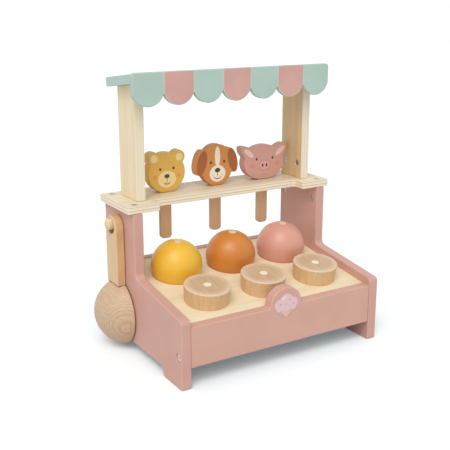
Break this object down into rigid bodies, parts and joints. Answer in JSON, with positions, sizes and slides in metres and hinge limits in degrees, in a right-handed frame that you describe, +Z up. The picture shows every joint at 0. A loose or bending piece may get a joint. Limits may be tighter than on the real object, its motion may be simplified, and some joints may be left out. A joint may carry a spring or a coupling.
{
  "type": "toy ice cream stand",
  "caption": "Wooden toy ice cream stand with a scalloped awning, a sloping tray of scoop balls and cones, lollies standing in a shelf and a serving scoop on a side peg.",
  "frame": {"origin": "on the floor under the middle of the whole object, scoop and shelf ends included", "axes": "+X to the right as seen from the front, +Y from the front to the back, +Z up"},
  "size_m": [0.3434, 0.208, 0.3617],
  "materials": {
    "pink_paint": "satin paint",
    "mint_paint": "satin paint",
    "birch_ply": "clear lacquer",
    "beech": "clear lacquer",
    "yellow_paint": "satin paint",
    "orange_paint": "satin paint",
    "rose_paint": "satin paint",
    "cap": "smooth",
    "steel": "zinc plated"
  },
  "bodies": {
    "stand": {"left_side_panel": "pink_paint", "right_side_panel": "pink_paint", "front_board": "pink_paint", "back_board": "pink_paint", "tray": "birch_ply", "shelf": "birch_ply", "left_post": "birch_ply", "right_post": "birch_ply", "roof_board": "mint_paint", "scalloped_valance": "mint_paint", "scoop_peg": "beech", "left_panel_bolt_front": "steel", "left_panel_bolt_rear": "steel", "right_panel_bolt_front": "steel", "right_panel_bolt_rear": "steel", "left_panel_nut_front": "steel", "left_panel_nut_rear": "steel", "right_panel_nut_front": "steel", "right_panel_nut_rear": "steel", "left_post_bolt_front": "steel", "left_post_bolt_rear": "steel", "right_post_bolt_front": "steel", "right_post_bolt_rear": "steel", "left_post_nut_front": "steel", "left_post_nut_rear": "steel", "right_post_nut_front": "steel", "right_post_nut_rear": "steel", "left_side_screw_front": "steel", "left_side_screw_rear": "steel", "right_side_screw_front": "steel", "right_side_screw_rear": "steel", "left_roof_screw": "steel", "right_roof_screw": "steel"},
    "yellow_ball": {"yellow_ball": "yellow_paint", "yellow_ball_top_magnet": "cap", "yellow_ball_lower_magnet": "cap"},
    "orange_ball": {"orange_ball": "orange_paint", "orange_ball_top_magnet": "cap", "orange_ball_lower_magnet": "cap"},
    "pink_ball": {"pink_ball": "rose_paint", "pink_ball_top_magnet": "cap", "pink_ball_lower_magnet": "cap"},
    "left_cone": {"left_cone": "beech", "left_cone_magnet": "cap"},
    "middle_cone": {"middle_cone": "beech", "middle_cone_magnet": "cap"},
    "right_cone": {"right_cone": "beech", "right_cone_magnet": "cap"},
    "bear_lolly": {"bear_lolly_head": "yellow_paint", "bear_lolly_stick": "beech"},
    "puppy_lolly": {"puppy_lolly_head": "orange_paint", "puppy_lolly_stick": "beech"},
    "piglet_lolly": {"piglet_lolly_head": "rose_paint", "piglet_lolly_stick": "beech"},
    "scoop": {"scoop_handle": "beech", "scoop_bowl": "beech", "scoop_magnet": "cap"}
  },
  "joints": [
    {"name": "yellow_ball_lift", "type": "slide", "parent": "stand", "child": "yellow_ball", "axis": [0, -0.1409, 0.99], "range_m": [0, 0.045]},
    {"name": "orange_ball_lift", "type": "slide", "parent": "stand", "child": "orange_ball", "axis": [0, -0.1409, 0.99], "range_m": [0, 0.045]},
    {"name": "pink_ball_lift", "type": "slide", "parent": "stand", "child": "pink_ball", "axis": [0, -0.1409, 0.99], "range_m": [0, 0.045]},
    {"name": "left_cone_lift", "type": "slide", "parent": "stand", "child": "left_cone", "axis": [0, -0.1409, 0.99], "range_m": [0, 0.062]},
    {"name": "middle_cone_lift", "type": "slide", "parent": "stand", "child": "middle_cone", "axis": [0, -0.1409, 0.99], "range_m": [0, 0.062]},
    {"name": "right_cone_lift", "type": "slide", "parent": "stand", "child": "right_cone", "axis": [0, -0.1409, 0.99], "range_m": [0, 0.062]},
    {"name": "bear_lolly_lift", "type": "slide", "parent": "stand", "child": "bear_lolly", "axis": [0, 0, 1], "range_m": [0, 0.068]},
    {"name": "puppy_lolly_lift", "type": "slide", "parent": "stand", "child": "puppy_lolly", "axis": [0, 0, 1], "range_m": [0, 0.068]},
    {"name": "piglet_lolly_lift", "type": "slide", "parent": "stand", "child": "piglet_lolly", "axis": [0, 0, 1], "range_m": [0, 0.068]},
    {"name": "scoop_swing", "type": "hinge", "parent": "stand", "child": "scoop", "pos_m": [-0.13525, 0.06, 0.1682], "axis": [1, 0, 0], "range_deg": [-90, 90]}
  ]
}
